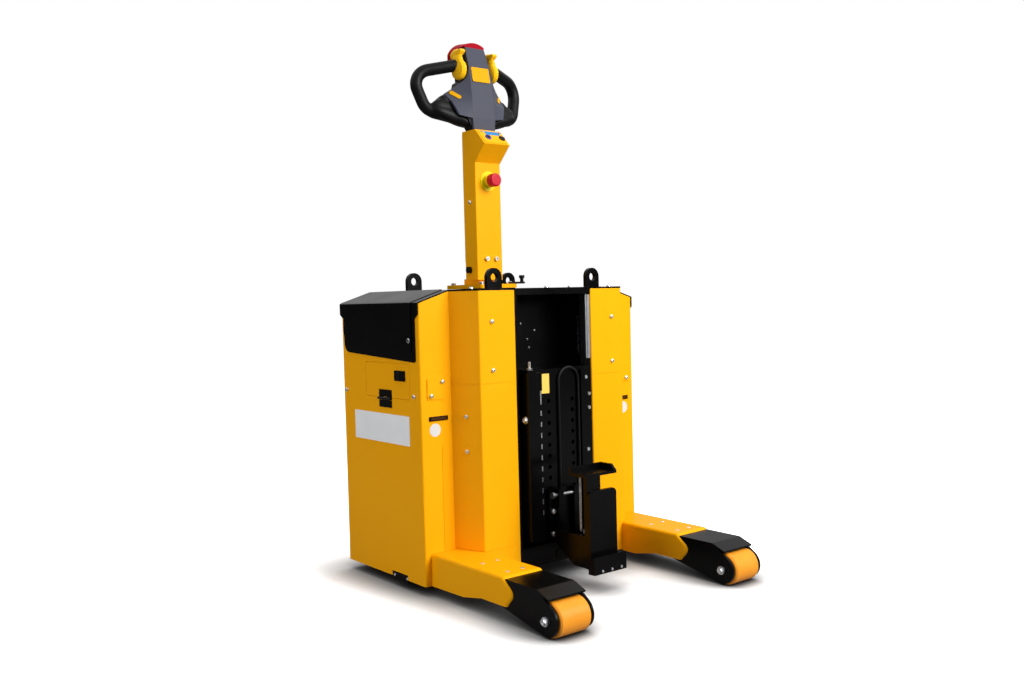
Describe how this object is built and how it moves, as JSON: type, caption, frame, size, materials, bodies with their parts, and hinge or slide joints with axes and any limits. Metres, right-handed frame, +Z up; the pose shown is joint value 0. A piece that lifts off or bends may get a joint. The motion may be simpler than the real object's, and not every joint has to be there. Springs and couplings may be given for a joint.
{
  "type": "pedestrian electric tow tractor",
  "caption": "Walk-behind electric tow tractor: upright tiller, yellow side pods, black mast recess with a lifting coupling, and legs on load rollers.",
  "frame": {"origin": "on the floor, at the middle of the machine's length and width", "axes": "+X forward to the load rollers, +Y to the machine's left, +Z up"},
  "size_m": [0.9254, 0.816, 1.592],
  "materials": {
    "yellow_powder_coat": "semi-gloss powder coat",
    "black_powder_coat": "satin powder coat",
    "black_moulding": "fine moulded grain",
    "grey_moulding": "satin moulding",
    "red_moulding": "gloss moulding",
    "yellow_moulding": "satin moulding",
    "orange_polyurethane": "cast polyurethane",
    "bright_steel": "bright drawn",
    "cast_metal": "painted casting",
    "battery_case": "moulded case"
  },
  "bodies": {
    "chassis": {"leg_right": "yellow_powder_coat", "leg_left": "yellow_powder_coat", "column_right": "yellow_powder_coat", "column_left": "yellow_powder_coat", "pod_right": "yellow_powder_coat", "pod_left": "yellow_powder_coat", "rear_panel": "yellow_powder_coat", "service_plates": "yellow_powder_coat", "cover_right": "black_powder_coat", "cover_left": "black_powder_coat", "roller_brackets": "black_powder_coat", "deck": "black_powder_coat", "lifting_eyes": "black_powder_coat", "recess_panel": "black_powder_coat", "base_frame": "black_powder_coat", "skids": "black_powder_coat", "flap_hinges": "black_powder_coat", "pull_slots": "black_powder_coat", "guide_rails": "bright_steel", "roller_axles": "bright_steel", "slewing_ring": "bright_steel", "batteries": "battery_case"},
    "carriage": {"carriage_box": "black_powder_coat", "index_strip": "bright_steel", "mast_covers": "black_powder_coat", "lift_cable": "black_moulding", "coupling_arm": "black_powder_coat", "coupling_plate": "black_powder_coat", "coupling_nose": "black_powder_coat", "coupling_shelf": "black_powder_coat", "adjusting_pin": "bright_steel"},
    "steering": {"drive_fork": "black_powder_coat", "drive_motor": "cast_metal", "steering_column": "yellow_powder_coat", "tiller_bracket": "yellow_powder_coat", "index_plunger": "black_moulding"},
    "drive_wheel": {"drive_hub": "cast_metal", "drive_tyre": "orange_polyurethane"},
    "tiller": {"tiller_arm": "yellow_powder_coat", "arm_cover": "yellow_powder_coat", "pivot_pin": "black_moulding", "stop_disc": "yellow_moulding", "stop_button": "red_moulding", "head_face": "grey_moulding", "head_housing": "black_moulding", "belly_switch": "red_moulding", "grips": "black_moulding", "thumb_wheels": "yellow_moulding", "head_buttons": "yellow_moulding"},
    "roller_right": {"roller_right": "orange_polyurethane"},
    "roller_left": {"roller_left": "orange_polyurethane"},
    "flap_right": {"flap_right": "yellow_powder_coat", "flap_fittings_right": "black_powder_coat"},
    "flap_left": {"flap_left": "yellow_powder_coat", "flap_fittings_left": "black_powder_coat"}
  },
  "joints": [
    {"name": "roller_right_spin", "type": "hinge", "parent": "chassis", "child": "roller_right", "pos_m": [0.42025, -0.316, 0.0425], "axis": [0, 1, 0], "continuous": true},
    {"name": "roller_left_spin", "type": "hinge", "parent": "chassis", "child": "roller_left", "pos_m": [0.42025, 0.316, 0.0425], "axis": [0, 1, 0], "continuous": true},
    {"name": "carriage_lift", "type": "slide", "parent": "chassis", "child": "carriage", "axis": [0, 0, 1], "range_m": [0, 0.2]},
    {"name": "steer", "type": "hinge", "parent": "chassis", "child": "steering", "pos_m": [-0.28275, 0, 0.1], "axis": [0, 0, 1], "range_deg": [-90, 90]},
    {"name": "drive_spin", "type": "hinge", "parent": "steering", "child": "drive_wheel", "pos_m": [-0.28275, 0, 0.1], "axis": [0, 1, 0], "continuous": true},
    {"name": "tiller_tilt", "type": "hinge", "parent": "steering", "child": "tiller", "pos_m": [-0.28775, 0, 0.889], "axis": [0, -1, 0], "range_deg": [0, 75], "stiffness_Nm_per_rad": 60, "springref_deg": -20.05},
    {"name": "flap_right_open", "type": "hinge", "parent": "chassis", "child": "flap_right", "pos_m": [-0.21575, -0.404, 0.528], "axis": [1, 0, 0], "range_deg": [0, 165]},
    {"name": "flap_left_open", "type": "hinge", "parent": "chassis", "child": "flap_left", "pos_m": [-0.21575, 0.404, 0.528], "axis": [-1, 0, 0], "range_deg": [0, 165]}
  ]
}
